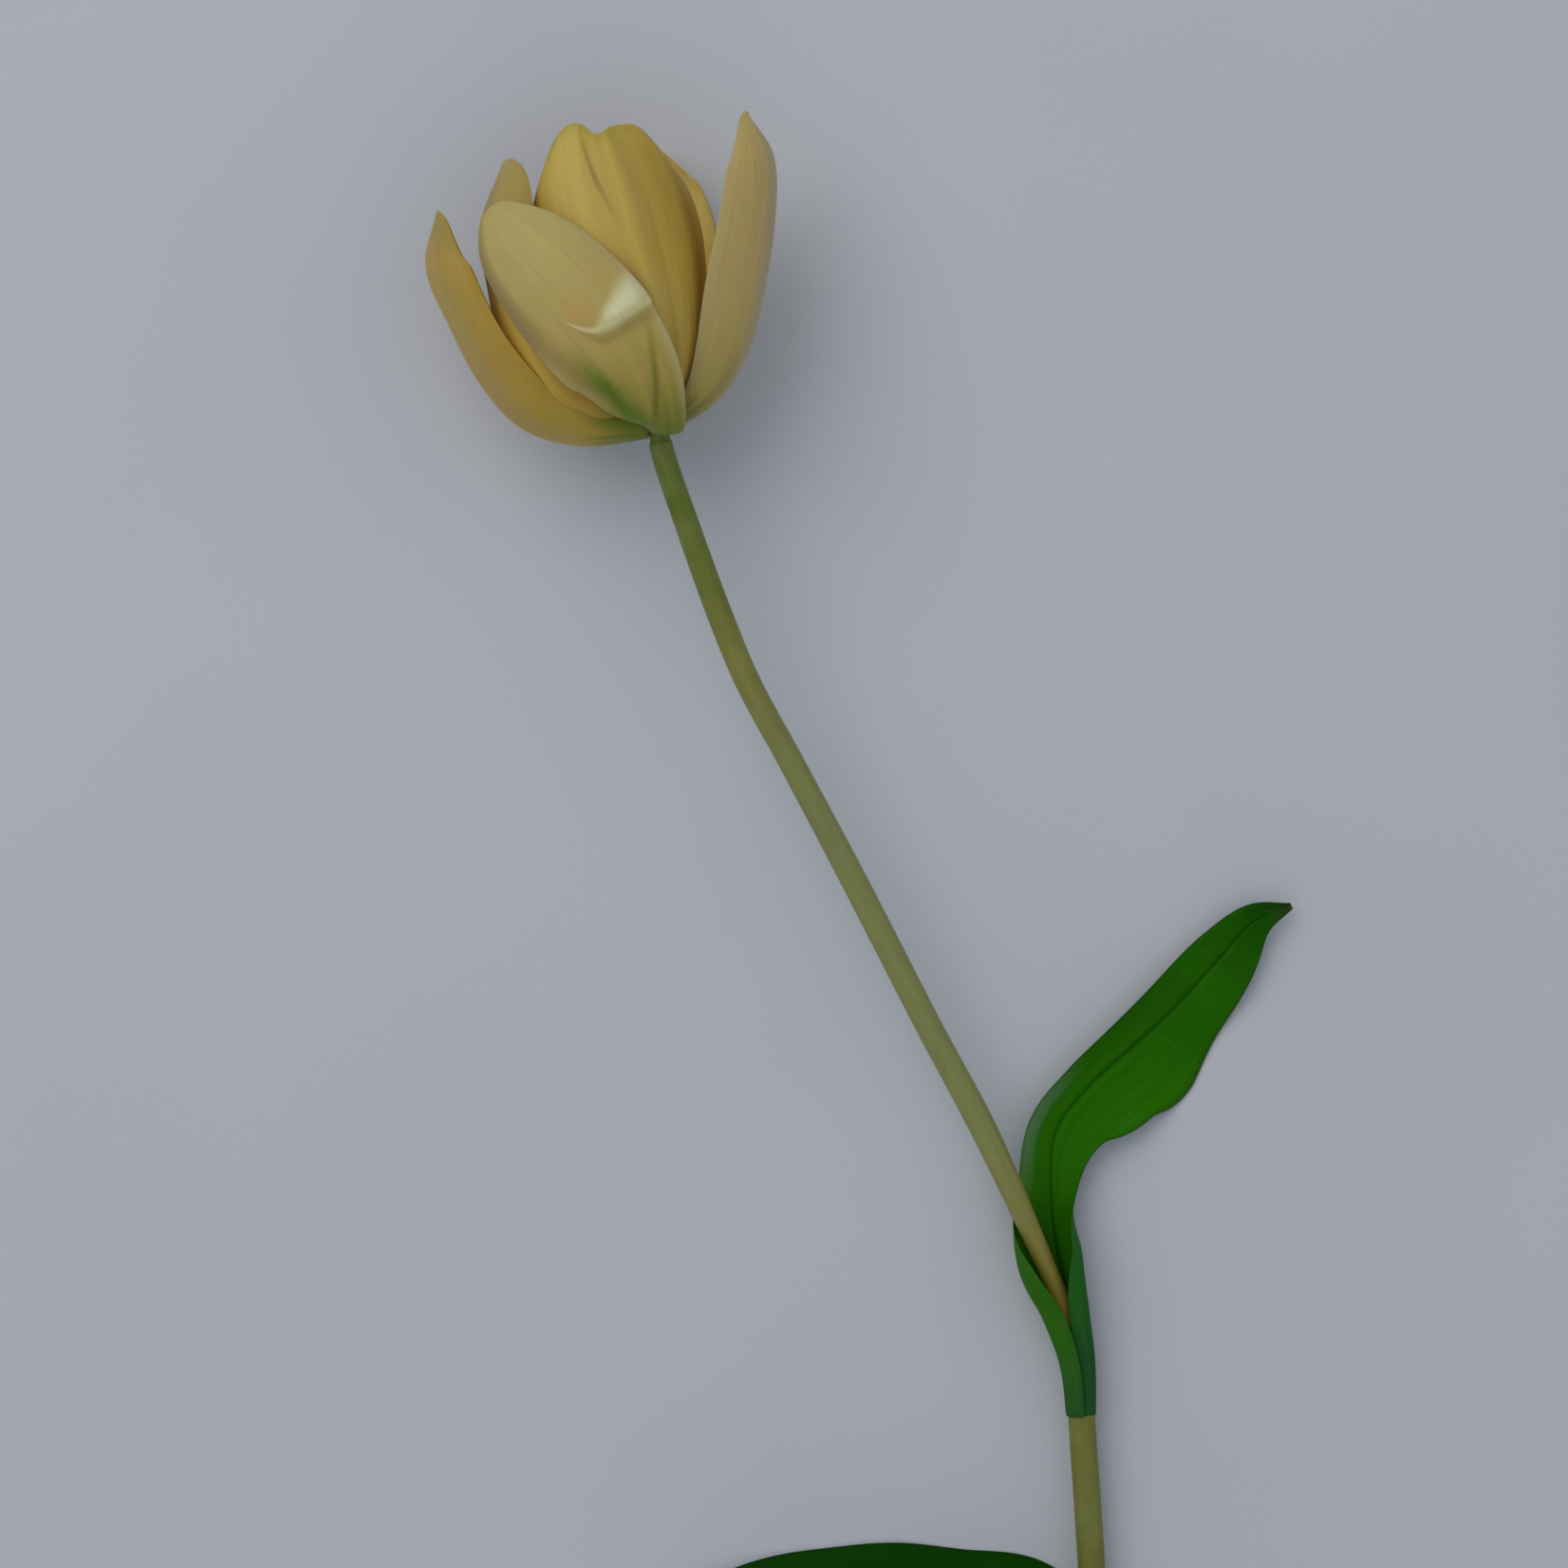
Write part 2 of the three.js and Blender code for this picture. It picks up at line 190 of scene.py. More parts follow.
# Tulip tepal, living tissue: a satin skin over watery, translucent cells, pleated lengthwise by
# fine parallel veins, with chlorophyll left in flames at the base.
def tepalSkin(name, look):
    material, tree = newMaterial(name)
    uv, u, v = bladeMap(tree)
    place = addNode(tree, "TexCoord", {}, {}, "Object")
    across = addNode(tree, "Math", {"operation": "ABSOLUTE"}, {0: u})
    veins = grainAlong(tree, uv, (30, 2.0, 1), 4.0, 0.6)  # about 0.7 mm apart at the widest part
    streaks = grainAlong(tree, uv, (9, 1.1, 1), 2.0, 0.5)
    clouds = addNode(tree, "TexNoise", {}, {"Vector": place, "Scale": 70.0, "Detail": 3.0, "Roughness": 0.55})
    # the lengthwise colours, their borders broken up by the streaks
    wobble = addNode(tree, "Math", {"operation": "MULTIPLY_ADD"}, {0: streaks, 1: 0.24, 2: -0.12})
    height = addNode(tree, "Math", {"operation": "ADD"}, {0: v, 1: wobble})
    colour = addNode(tree, "ValToRGB", {"stops": look["lengthwise"]}, {0: height})
    colour = wash(tree, colour, look["flush"], clouds, 0.42, 0.72, look["flushAmount"])
    colour = wash(tree, colour, look["rim"], across, look["rimFrom"], 1.02, look["rimAmount"])
    colour = wash(tree, colour, look["flame"], height, look["flameHeight"], 0.0, look["flameAmount"], "SMOOTHERSTEP")
    for mark in look["marks"]:
        colour = addMark(tree, colour, u, v, streaks, mark)
    colour = mottle(tree, colour, veins, 0.94, 1.04)
    # skin cells, really 0.05 mm long, drawn at 0.4 mm so that they show
    cells = addNode(tree, "TexNoise", {}, {"Vector": place, "Scale": 2500.0, "Detail": 2.0})
    pleats = addNode(tree, "Math", {"operation": "MULTIPLY_ADD"}, {0: cells, 1: 0.06, 2: veins})
    relief = addNode(tree, "Bump", {}, {"Height": pleats, "Strength": 0.35, "Distance": 0.0006})
    skin = addNode(tree, "BsdfPrincipled", {}, {
        "Base Color": colour, "Normal": relief, "Roughness": look["roughness"], "IOR": 1.42,
        "Specular IOR Level": 0.3,
        "Subsurface Weight": 0.55, "Subsurface Radius": (0.9, 0.62, 0.22), "Subsurface Scale": 0.0025,
        "Sheen Weight": 0.05, "Sheen Roughness": 0.5})
    addNode(tree, "OutputMaterial", {}, {0: skin})
    return material


def roundedEnd(v, blunt):  # the width left at v, as a share: an ellipse closing on a blunt tip
    t = max(0, (v - 0.86) / 0.14)
    return blunt + (1 - blunt) * math.sqrt(max(1 - t * t, 0))


def rowPlace(y):  # rows crowd towards the tip
    return (y + 1) / 2 + 0.12 * math.cos(y * math.pi / 2)


# Tepals and leaves are flat grids bent along a midrib, thinner towards margin and tip.
def bendBlade(shape, blade, place):
    bm = bmesh.new()
    uvLayer = bm.loops.layers.uv.new("blade")
    bmesh.ops.create_grid(bm, x_segments=blade["columns"], y_segments=blade["rows"], size=1)
    weights = {}
    bm.verts.ensure_lookup_table()
    for face in bm.faces:
        for loop in face.loops:
            loop[uvLayer].uv = ((loop.vert.co.x + 1) / 2, rowPlace(loop.vert.co.y))
    for vertex in bm.verts:
        u, v = vertex.co.x, rowPlace(vertex.co.y)
        weights[vertex.index] = max(1 - abs(u) ** 3, 0) * (1 - smooth(0.85, 1, v))
        vertex.co = place(shape, u, min(v, 1))
    bm.normal_update()
    return bm, weights


def crossSection(point, tangent, facing, half, radius, u, slant=0.0):
    inward = (facing - tangent * facing.dot(tangent)).normalized()
    sideways = tangent.cross(inward)
    angle = u * half / radius
    spot = point + (sideways + tangent * slant) * (radius * math.sin(angle)) + inward * (radius * (1 - math.cos(angle)))
    return spot, inward * math.cos(angle) - sideways * math.sin(angle)


flowerFrame = {"base": Vector((-26.2, 74.2, 24)), "lean": 15, "lift": 2}


def flowerMatrix():
    lean, lift = math.radians(flowerFrame["lean"]), math.radians(flowerFrame["lift"])
    axis = Vector((-math.sin(lean) * math.cos(lift), math.cos(lean) * math.cos(lift), math.sin(lift)))
    right = Vector((math.cos(lean), math.sin(lean), 0))
    return Matrix.Translation(flowerFrame["base"]) @ Matrix((right, axis.cross(right), axis)).transposed().to_4x4()


toFlower = flowerMatrix()


def tepalPlace(shape, u, v):
    turn = math.radians(shape["azimuth"])
    radial = Vector((math.cos(turn), math.sin(turn), 0))
    around = Vector((-math.sin(turn), math.cos(turn), 0))
    if "midrib" not in shape:
        shape["midrib"] = [radial * r + Vector((0, 0, h)) + around * d
                           for (r, h), d in zip(shape["outline"], shape["drift"])]
    midrib = shape["midrib"]
    half = along(shape["half"], v) * roundedEnd(v, shape["blunt"])
    tangent = direction(midrib, v)
    spot, inner = crossSection(along(midrib, v), tangent, -radial, half, along(shape["curl"], v), u)
    # lobed tip, then relief square to the skin
    spot += tangent * along(shape["crown"], (u + 1) / 2) * smooth(0.72, 1, v)
    depth = 0
    for centre, width, amount, low, high in shape["folds"]:
        depth += amount * bell(u, centre, width) * smooth(low, low + 0.2, v) * (1 - smooth(high - 0.2, high, v))
    margin = abs(u) ** 4 * smooth(0.15, 0.4, v)
    depth += shape["ruffle"] * margin * math.sin(11 * v + 2.5 * u + shape["seed"])
    grain = Vector((u * 2.2, v * 2.4, shape["seed"]))
    depth += 0.35 * noise.noise(grain) * smooth(0.05, 0.3, v)
    depth += 0.1 * noise.noise(Vector((u * 14, v * 1.6, shape["seed"]))) * smooth(0.05, 0.3, v)
    if "dent" in shape:
        depth += dentDepth(shape["dent"], u, v)
    return rested(toFlower @ (spot + inner * depth))


def dentDepth(dent, u, v):  # a bruised fold: a raised lip, sharp on its lower side, over a hollow
    lip = dent["v"] + dent["slope"] * (u - dent["u"]) + dent["hook"] * max(u + hookStart, 0) ** 2
    above = v - lip
    rise = smooth(-dent["edge"], dent["edge"], above)
    fade = math.exp(-(max(above, 0) / dent["length"]) ** 2)
    below = bell(above, dent["hollowPlace"], dent["hollowWidth"])
    return (dent["depth"] * rise * fade + dent["hollow"] * below) * bell(u, dent["u"], dent["width"])


tepalLook = {
    "lengthwise": [(0.0, "#8a8a34"), (0.2, "#b8a552"), (0.55, "#c9b872"), (1.0, "#c8b878")],
    "flush": "#c9a56a", "flushAmount": 0.35,
    "rim": "#b5a37c", "rimFrom": 0.75, "rimAmount": 0.5,
    "flame": "#6c7a1e", "flameHeight": 0.2, "flameAmount": 0.9,
    "roughness": 0.5, "marks": [],
}
innerLook = {**tepalLook, "lengthwise": [(0.0, "#98882e"), (0.25, "#c8a745"), (0.6, "#cfb155"), (1.0, "#cbb25f")],
    "flush": "#cf9f45"}

tepalOuterLeft = {
    "azimuth": 180,
    "outline": [(2.3, -1), (16, 1), (27.2, 7.8), (33.2, 19), (36.2, 31.5), (38, 45), (33, 56)],
    "drift": [0, 0, 0, 0, 0, 0, 0],
    "half": [6, 13.8, 18.4, 18.6, 17.4, 15.4, 8],
    "curl": [5, 13, 15.5, 15.5, 15, 12, 8],
    "crown": [0, 0, 0], "blunt": 0.45, "folds": [], "ruffle": 0.3, "seed": 1.3,
    "look": {
        "lengthwise": [(0.0, "#7d8220"), (0.15, "#b89c38"), (0.5, "#b0943f"), (1.0, "#b69c4e")], "flush": "#b98a3a",
        "rim": "#b98e34", "rimFrom": 0.8, "rimAmount": 0.7,
        "marks": [{"colour": "#a39a68", "at": -0.45, "drift": 0, "width": 0.25, "reach": (0.2, 1), "amount": 0.3},
                  {"colour": "#8d8548", "over": True, "at": 1.0, "drift": 0, "width": 0.2,
                   "reach": (-1, 1), "amount": 0.6}]},
}
tepalOuterFront = {
    "azimuth": -104,
    "outline": [(2.5, -0.8), (14.6, 2.4), (24.4, 11.6), (28.4, 23), (28.6, 34), (26.8, 44), (23.6, 52.8)],
    "drift": [0, 1.6, 1.8, -1.4, -7, -12.6, -16.6],
    "half": [4.4, 9.1, 12.4, 14.2, 13.8, 10.6, 5.4],
    "curl": [5, 14, 19, 20, 19, 16, 12],
    "crown": [0, 0, 0], "blunt": 0.2, "folds": [], "ruffle": 0.2, "seed": 4.1,
    "dent": {"u": -0.6, "v": 0.472, "slope": 0.025, "hook": 0.7, "edge": 0.01, "length": 0.075, "width": 0.62,
    "depth": -1.2, "hollow": 0.45, "hollowPlace": -0.045, "hollowWidth": 0.035},
    "look": {
        "lengthwise": [(0.0, "#7f8722"), (0.2, "#ac9c3e"), (0.5, "#b8a85e"), (0.75, "#beb06a"), (1.0, "#bcae6c")],
        "flame": "#667c00", "flameHeight": 0.34,
        "marks": [
            {"colour": "#667e00", "at": 0.02, "drift": 1.15, "width": 0.46,
             "reach": (0, 0.42), "amount": 1, "ragged": 0.3},
            {"colour": "#76782a", "at": 0.16, "drift": -2.2, "width": 0.13, "reach": (0.05, 0.38), "amount": 0.8},
            {"colour": "#a2864a", "at": 0.62, "drift": 0.1, "width": 0.3, "reach": (0.3, 0.7), "amount": 0.5},
            {"colour": "#8c7c4c", "at": 0.95, "drift": 0, "width": 0.42, "reach": (0.5, 1), "amount": 0.85},
            {"colour": "#d09a58", "at": -0.02, "drift": 0, "width": 0.35,
             "reach": (0.53, 0.58), "soft": 0.05, "amount": 0.55},
            {"colour": "#c4b87c", "at": -0.96, "drift": 0, "width": 0.26, "reach": (0.16, 0.42), "amount": 0.65},
            # the two pale streaks across the blade at the crease are painted highlight on the raised lip
            {"colour": "#eeeabb", "over": True, "at": 0.478, "drift": -0.035, "width": 0.03, "taper": -0.05,
             "reach": (-0.95, -0.2), "soft": 0.22, "amount": 0.9, "ragged": 0},
            {"colour": "#e6d9a0", "over": True, "at": 0.49, "drift": 0.025, "hook": 0.7, "width": 0.018,
             "reach": (-1.2, 0.18), "soft": 0.1, "amount": 0.85, "ragged": 0},
            # the darker streak just below the lip is painted shade under it
            {"colour": "#968a48", "over": True, "at": 0.455, "drift": 0.02, "hook": 0.7, "width": 0.03,
             "reach": (-0.9, 0.1), "soft": 0.2, "amount": 0.55, "ragged": 0}]},
}
tepalOuterRight = {
    "azimuth": -12,
    "outline": [(2.5, -0.8), (13.6, 3), (22.6, 11.4), (29.2, 23), (35, 36), (38.2, 48.4), (35.4, 59)],
    "drift": [0, 0, 0, 0, 0, 0, 0],
    "half": [5.4, 12.4, 17, 18.4, 17.4, 14.4, 7],
    "curl": [5, 13, 16.5, 17, 16, 13, 8],
    "crown": [0, 0, 0], "blunt": 0.2, "folds": [], "ruffle": 0.25, "seed": 7.7,
    "look": {
        "lengthwise": [(0.0, "#8c8630"), (0.15, "#b1a252"), (0.55, "#c0ad6c"), (1.0, "#bfa96a")], "flush": "#c2a068",
        "marks": [
            # the greyer, darker band on the right side, turned away from the light, is painted shade
            {"colour": "#a99c7c", "at": 0.08, "drift": 0, "width": 0.36, "reach": (0.25, 1), "amount": 0.7},
            {"colour": "#8f7a3c", "at": 0.3, "drift": 0, "width": 0.3, "reach": (0, 0.3), "amount": 0.5},
            {"colour": "#b08c50", "at": -0.6, "drift": 0, "width": 0.3, "reach": (0.1, 0.5), "amount": 0.4}]},
}
tepalInnerLeft = {
    "azimuth": -167,
    "outline": [(3, 1.6), (14.6, 3.6), (23.6, 10.4), (27.6, 22), (27, 36.2), (25.2, 50), (17, 62.4)],
    "drift": [0, 0, 0, 0, 0, 0, 0],
    "half": [3, 11, 14, 13.6, 14.6, 16.4, 14.6],
    "curl": [4, 11, 15, 17, 18, 16, 14],
    "crown": [0, 0, 0], "blunt": 0.35, "folds": [], "ruffle": 0.2, "seed": 2.9,
    "look": {
        # golden tissue, made brighter below the middle than it is, to light the shaded gap between its neighbours:
        # painted light
        "lengthwise": [(0.0, "#b0982a"), (0.25, "#b8983a"), (0.58, "#ceaa4a"), (0.74, "#aa9c5a"), (1.0, "#a89a5c")],
        "flush": "#b0902e", "rim": "#96722a",
        "marks": [{"colour": "#8f7f4a", "at": -0.1, "drift": 0, "width": 0.3, "reach": (0.75, 1), "amount": 0.5}]},
}
tepalInnerFront = {
    "azimuth": -82,
    "outline": [(3, 1.6), (11.8, 6.2), (19, 15.6), (22.2, 27.8), (22, 40), (19.4, 52), (16, 62.4)],
    "drift": [0, 0.6, 1.2, 1.2, 0.8, 1, 1.6],
    "half": [2, 9, 14.4, 19, 21.5, 21, 16],
    "curl": [4, 11, 15, 17.5, 19, 18.4, 16],
    "crown": [-3.2, 0.4, 1, 0.8, -0.8, 2.6, 3, 0.6, -4.5], "blunt": 0.76,
    "folds": [(-0.08, 0.1, -1.3, 0.25, 1.3), (-0.36, 0.2, 0.6, 0.4, 1.3), (0.12, 0.09, 0.6, 0.6, 1.3)],
    "ruffle": 0.2, "seed": 5.5,
    "look": {
        "lengthwise": [(0.0, "#8a8228"), (0.2, "#c6ae4e"), (0.45, "#c6ac50"), (1.0, "#bca44c")], "rim": "#b08a38",
        "marks": [
            # the right half darker, and darker still along its right margin beside the right outer tepal: painted shade
            {"colour": "#ae9638", "at": -0.62, "drift": 0, "width": 0.6, "reach": (0.3, 1), "amount": 0.65},
            {"colour": "#8d6f24", "at": -0.78, "drift": 0, "width": 0.16, "reach": (0.25, 0.8), "amount": 0.5},
            # the upper left lobe lighter yellow where the light falls on it: painted light
            {"colour": "#d8c468", "at": 0.38, "drift": 0, "width": 0.4, "reach": (0.6, 1), "amount": 0.45},
            # the pale streak along the raised ridge is painted highlight
            {"colour": "#c2ac50", "at": -0.12, "drift": 0.12, "width": 0.2, "reach": (0.35, 0.93), "amount": 0.6},
            # the thin dark line beside the ridge near the tip is painted shade in the crease
            {"colour": "#86722c", "at": -0.5, "drift": 0.75, "width": 0.05,
             "reach": (0.76, 0.96), "soft": 0.08, "amount": 0.55},
            {"colour": "#a5781e", "at": 0.95, "drift": 0, "width": 0.22, "reach": (0.5, 1), "amount": 0.7},
            {"colour": "#9a8c3a", "at": -0.3, "drift": 0, "width": 0.06, "reach": (0.3, 0.8), "amount": 0.4},
            {"colour": "#a08a34", "over": True, "at": 1.02, "drift": 0, "width": 0.07,
             "reach": (-1, 1), "amount": 0.7, "ragged": 0.02}]},
}
tepalInnerBack = {
    "azimuth": 60,
    "outline": [(3, 1.6), (11.6, 6.4), (19.2, 15.8), (23.6, 28), (25.7, 40), (25.7, 51), (20.6, 59.6)],
    "drift": [0, 0, 0, 0, 0, 0, 0],
    "half": [2, 9, 17, 21, 22, 18, 9],
    "curl": [4, 11, 16, 18.5, 19, 16, 10],
    "crown": [0, 0, 0], "blunt": 0.2, "folds": [(0.0, 0.1, -0.6, 0.25, 1.2)], "ruffle": 0.2, "seed": 9.2,
    # the inner face's pale, bright yellows stand in for light glowing through the tepals into its shaded hollow:
    # painted light
    "look": {}, "innerLook": {"lengthwise": [(0.0, "#b58a2a"), (0.3, "#f4cc58"), (0.7, "#ffe68c"),
    (1.0, "#f6da84")], "flush": "#f0b848", "rim": "#e0c070"},
}


tepalBlade = {"columns": 44, "rows": 84, "mm": 0.7}


def makeTepal(node, shape):
    bm, weights = bendBlade(shape, tepalBlade, tepalPlace)
    name = node.replace("_", "-")
    inner = tepalSkin(name + " inner skin", {**innerLook, **shape.get("innerLook", {})})
    outer = tepalSkin(name + " outer skin", {**tepalLook, **shape["look"]})
    return finishPiece(bm, node + "_skin", node, [inner, outer], {"mm": tepalBlade["mm"], "weights": weights})


makeTepal("tepal_outer_left", tepalOuterLeft)
makeTepal("tepal_outer_front", tepalOuterFront)
makeTepal("tepal_outer_right", tepalOuterRight)
makeTepal("tepal_inner_left", tepalInnerLeft)
makeTepal("tepal_inner_front", tepalInnerFront)
makeTepal("tepal_inner_back", tepalInnerBack)
print("tepals made")


# Tulip leaf, living tissue: a waxy cuticle over a deep green blade, ribbed lengthwise by parallel
# veins; the bloom of wax turns the outer face blue-grey.
def leafSkin(name, look):
    material, tree = newMaterial(name)
    uv, u, v = bladeMap(tree)
    place = addNode(tree, "TexCoord", {}, {}, "Object")
    across = addNode(tree, "Math", {"operation": "ABSOLUTE"}, {0: u})
    clouds = addNode(tree, "TexNoise", {}, {"Vector": place, "Scale": 45.0, "Detail": 3.0, "Roughness": 0.55})
    veins = grainAlong(tree, uv, (26, 3.0, 1), 3.0, 0.6)  # about 1 mm apart
    colour = addNode(tree, "ValToRGB", {"stops": look["lengthwise"]}, {0: v})
    colour = wash(tree, colour, look["cloud"], clouds, 0.4, 0.7, look["cloudAmount"])
    colour = wash(tree, colour, look["midrib"], across, 0.07, 0.0, look["midribAmount"])
    colour = wash(tree, colour, look["rim"], across, 0.88, 1.0, 0.5)
    for mark in look["marks"]:
        colour = addMark(tree, colour, u, v, veins, mark)
    colour = mottle(tree, colour, veins, 0.86, 1.1)
    relief = addNode(tree, "Bump", {}, {"Height": veins, "Strength": 0.3, "Distance": 0.0006})
    skin = addNode(tree, "BsdfPrincipled", {}, {
        "Base Color": colour, "Normal": relief, "Roughness": look["roughness"], "IOR": 1.45,
        "Specular IOR Level": 0.04})
    addNode(tree, "OutputMaterial", {}, {0: skin})
    return material


def leafPlace(shape, u, v):
    point = along(shape["midrib"], v)
    side = "Left" if u < 0 else "Right"
    half = along(shape["half" + side], v)
    radius = along(shape["curl" + side], v)
    slant = along(shape["slant" + side], v) * abs(u) * (-1 if u < 0 else 1)
    spot, inner = crossSection(point, direction(shape["midrib"], v), along(shape["facing"], v), half, radius, u, slant)
    opened = smooth(0.3, 0.5, v)
    depth = -0.45 * bell(u, 0, 0.06) * opened * (1 - smooth(0.9, 1, v))
    depth += shape["ruffle"] * abs(u) ** 2.5 * opened * math.sin(19 * v + 1.5 * u + shape["seed"])
    depth += 0.4 * noise.noise(Vector((u * 1.8, v * 6, shape["seed"]))) * opened
    depth += 0.07 * noise.noise(Vector((u * 16, v * 3, shape["seed"])))
    return rested(spot + inner * depth)


leafLook = {
    "lengthwise": [(0.0, "#3a7a0c"), (0.3, "#286c00"), (0.6, "#286e00"), (0.93, "#165200"), (0.985, "#2a4a1c"),
    (1.0, "#44502e")],
    "cloud": "#2b7400", "cloudAmount": 0.5, "midrib": "#104800", "midribAmount": 0.8, "rim": "#263f1e",
    "roughness": 0.5, "marks": [
        {"colour": "#628e58", "at": -0.8, "drift": 0, "width": 0.5, "reach": (0.38, 0.52), "soft": 0.07, "amount": 1},
        # bright green over the shaded inner face of the sheath's flap: painted light
        {"colour": "#6ea81c", "at": -0.9, "drift": 0, "width": 0.8, "reach": (0, 0.33), "amount": 1}],
}
outerLeafLook = {
    **leafLook, "lengthwise": [(0.0, "#28562c"), (0.1, "#28582c"), (0.22, "#226a1c"), (0.4, "#3a6a3a"),
    (0.7, "#44704a"), (1.0, "#3f5a48")],
    "cloud": "#2a6a26", "rim": "#2c6020", "midrib": "#224a22", "roughness": 0.55,
    "marks": [{"colour": "#357010", "at": -0.7, "drift": 0, "width": 0.7, "reach": (0.06, 0.4), "amount": 0.9}]}

leafUpper = {
    "midrib": [Vector(p) for p in (
        (63.8, -134, 3.3), (63.3, -122.8, 3.1), (61.2, -111.8, 2.7), (58.6, -100.8, 2.6), (56.8, -87.2, 2.6),
        (57.6, -74.2, 2.2), (64.2, -64.8, 2), (72.8, -56.8, 1.6), (82.8, -47.8, 1.6), (92.8, -36.8, 2.2),
        (99.8, -29.2, 3.6), (107.8, -25.8, 4))],
    "facing": [Vector(p) for p in (
        (-0.2, 0, 1), (-0.2, 0, 1), (-0.2, 0, 1), (-0.2, 0, 1), (-0.1, 0, 1), (0, 0, 1),
        (0.1, 0, 1), (0.15, -0.1, 1), (0.15, -0.1, 1), (0.1, 0, 1), (0.1, 0, 1), (0, 0, 1))],
    "halfLeft": [10.8, 13, 16.8, 20, 9.6, 7.6, 6.8, 7.4, 7.6, 6.4, 4.2, 0.7],
    "halfRight": [8.2, 9.6, 12.4, 13, 6.8, 12, 14.8, 15.4, 11, 8.6, 4.2, 0.7],
    "curlLeft": [3.1, 3.9, 5.4, 7.6, 7.6, 6.4, 7.4, 12, 16, 16, 12, 5],
    "curlRight": [2.65, 3.1, 4.1, 5.6, 6.2, 26, 60, 80, 60, 40, 20, 8],
    "slantLeft": [0, 0, 0, 0, 0, 0, 0, 0, 0, 0, 0, 0],
    "slantRight": [0, 0, 0, 0, 0.05, 0.2, 0.36, 0.28, 0.15, -0.1, 0.1, 0],
    "ruffle": 0.5, "seed": 3.1, "look": {},
}
leafLower = {
    "midrib": [Vector(p) for p in (
        (64.4, -214, 4.5), (63.6, -202, 4.8), (62.2, -191, 5.2), (58.6, -181.6, 6), (50, -174, 7),
        (37.4, -172.6, 7.8), (24.6, -171.8, 8.6), (12, -171.8, 8.8), (-1, -173, 8.2), (-12.6, -176.4, 6.6),
        (-22.4, -182.4, 4.4), (-28.6, -189.6, 2.4))],
    "facing": [Vector(p) for p in (
        (1, 0, 0.2), (1, 0, 0.2), (0.95, 0.2, 0.2), (0.6, 0.75, 0.3), (0.1, 0.9, 0.45), (0, 0.85, 0.55),
        (0, 0.8, 0.6), (0, 0.8, 0.6), (0, 0.75, 0.66), (0, 0.6, 0.8), (0, 0.4, 0.9), (0, 0.2, 1))],
    "halfLeft": [10.6, 11.6, 13.2, 12.6, 12.4, 12.6, 13, 12.4, 11, 8.6, 5, 0.7],
    "halfRight": [14, 15.4, 16.6, 13.4, 12.4, 12.6, 13, 12.4, 11, 8.6, 5, 0.7],
    "curlLeft": [3.5, 3.8, 4.8, 7.6, 12, 18, 24, 24, 20, 16, 10, 5],
    "curlRight": [4.1, 4.5, 5.6, 7.6, 12, 18, 24, 24, 20, 16, 10, 5],
    "slantLeft": [0, 0], "slantRight": [0, 0], "ruffle": 0.5, "seed": 8.4,
    # these greens are darker than the upper leaf's, standing in for the shade the lower leaf lies in: painted shade
    "look": {"lengthwise": [(0.0, "#1c4a10"), (0.35, "#0c4000"), (0.9, "#0a3e00"), (1.0, "#24380c")],
    "cloud": "#104600", "rim": "#123a06", "marks": []},
}


leafBlade = {"columns": 46, "rows": 140, "mm": 0.6}


def makeLeaf(node, shape):
    bm, weights = bendBlade(shape, leafBlade, leafPlace)
    name = node.replace("_", "-")
    inner = leafSkin(name + " inner face", {**leafLook, **shape["look"]})
    outer = leafSkin(name + " outer face", {**outerLeafLook, **shape["look"]})
    return finishPiece(bm, node + "_blade", node, [inner, outer], {"mm": leafBlade["mm"], "weights": weights})


makeLeaf("leaf_upper", leafUpper)
makeLeaf("leaf_lower", leafLower)
print("leaves made")


# Tulip stem, living tissue: a smooth, slightly waxy green skin with faint lengthwise ribs.
def stemSkin(look):
    material, tree = newMaterial("tulip stem skin")
    uv, _, v = bladeMap(tree)
    place = addNode(tree, "TexCoord", {}, {}, "Object")
    ribs = grainAlong(tree, uv, (16, 30.0, 1), 3.0, 0.6)  # about 1 mm apart
    clouds = addNode(tree, "TexNoise", {}, {"Vector": place, "Scale": 90.0, "Detail": 3.0})
    colour = addNode(tree, "ValToRGB", {"stops": look["lengthwise"]}, {0: v})
    colour = wash(tree, colour, look["cloud"], clouds, 0.4, 0.7, 0.4)
    colour = mottle(tree, colour, ribs, 0.9, 1.08)
    relief = addNode(tree, "Bump", {}, {"Height": ribs, "Strength": 0.25, "Distance": 0.0004})
    skin = addNode(tree, "BsdfPrincipled", {}, {
        "Base Color": colour, "Normal": relief, "Roughness": 0.48, "IOR": 1.43,
        "Subsurface Weight": 0.15, "Subsurface Radius": (0.6, 0.8, 0.2), "Subsurface Scale": 0.002})
    addNode(tree, "OutputMaterial", {}, {0: skin})
    return material


# Freshly cut pith: pale, wet and open-celled.
def cutSkin():
    material, tree = newMaterial("cut stem pith")
    place = addNode(tree, "TexCoord", {}, {}, "Object")
    tubes = addNode(tree, "TexVoronoi", {}, {"Vector": place, "Scale": 1800.0})
    colour = addNode(tree, "ValToRGB", {"stops": [(0.0, "#8a9656"), (0.6, "#c3cc94")]}, {0: tubes})
    relief = addNode(tree, "Bump", {}, {"Height": tubes, "Strength": 0.4, "Distance": 0.0004})
    skin = addNode(tree, "BsdfPrincipled", {}, {
        "Base Color": colour, "Normal": relief, "Roughness": 0.35, "IOR": 1.36,
        "Subsurface Weight": 0.2, "Subsurface Scale": 0.002})
    addNode(tree, "OutputMaterial", {}, {0: skin})
    return material


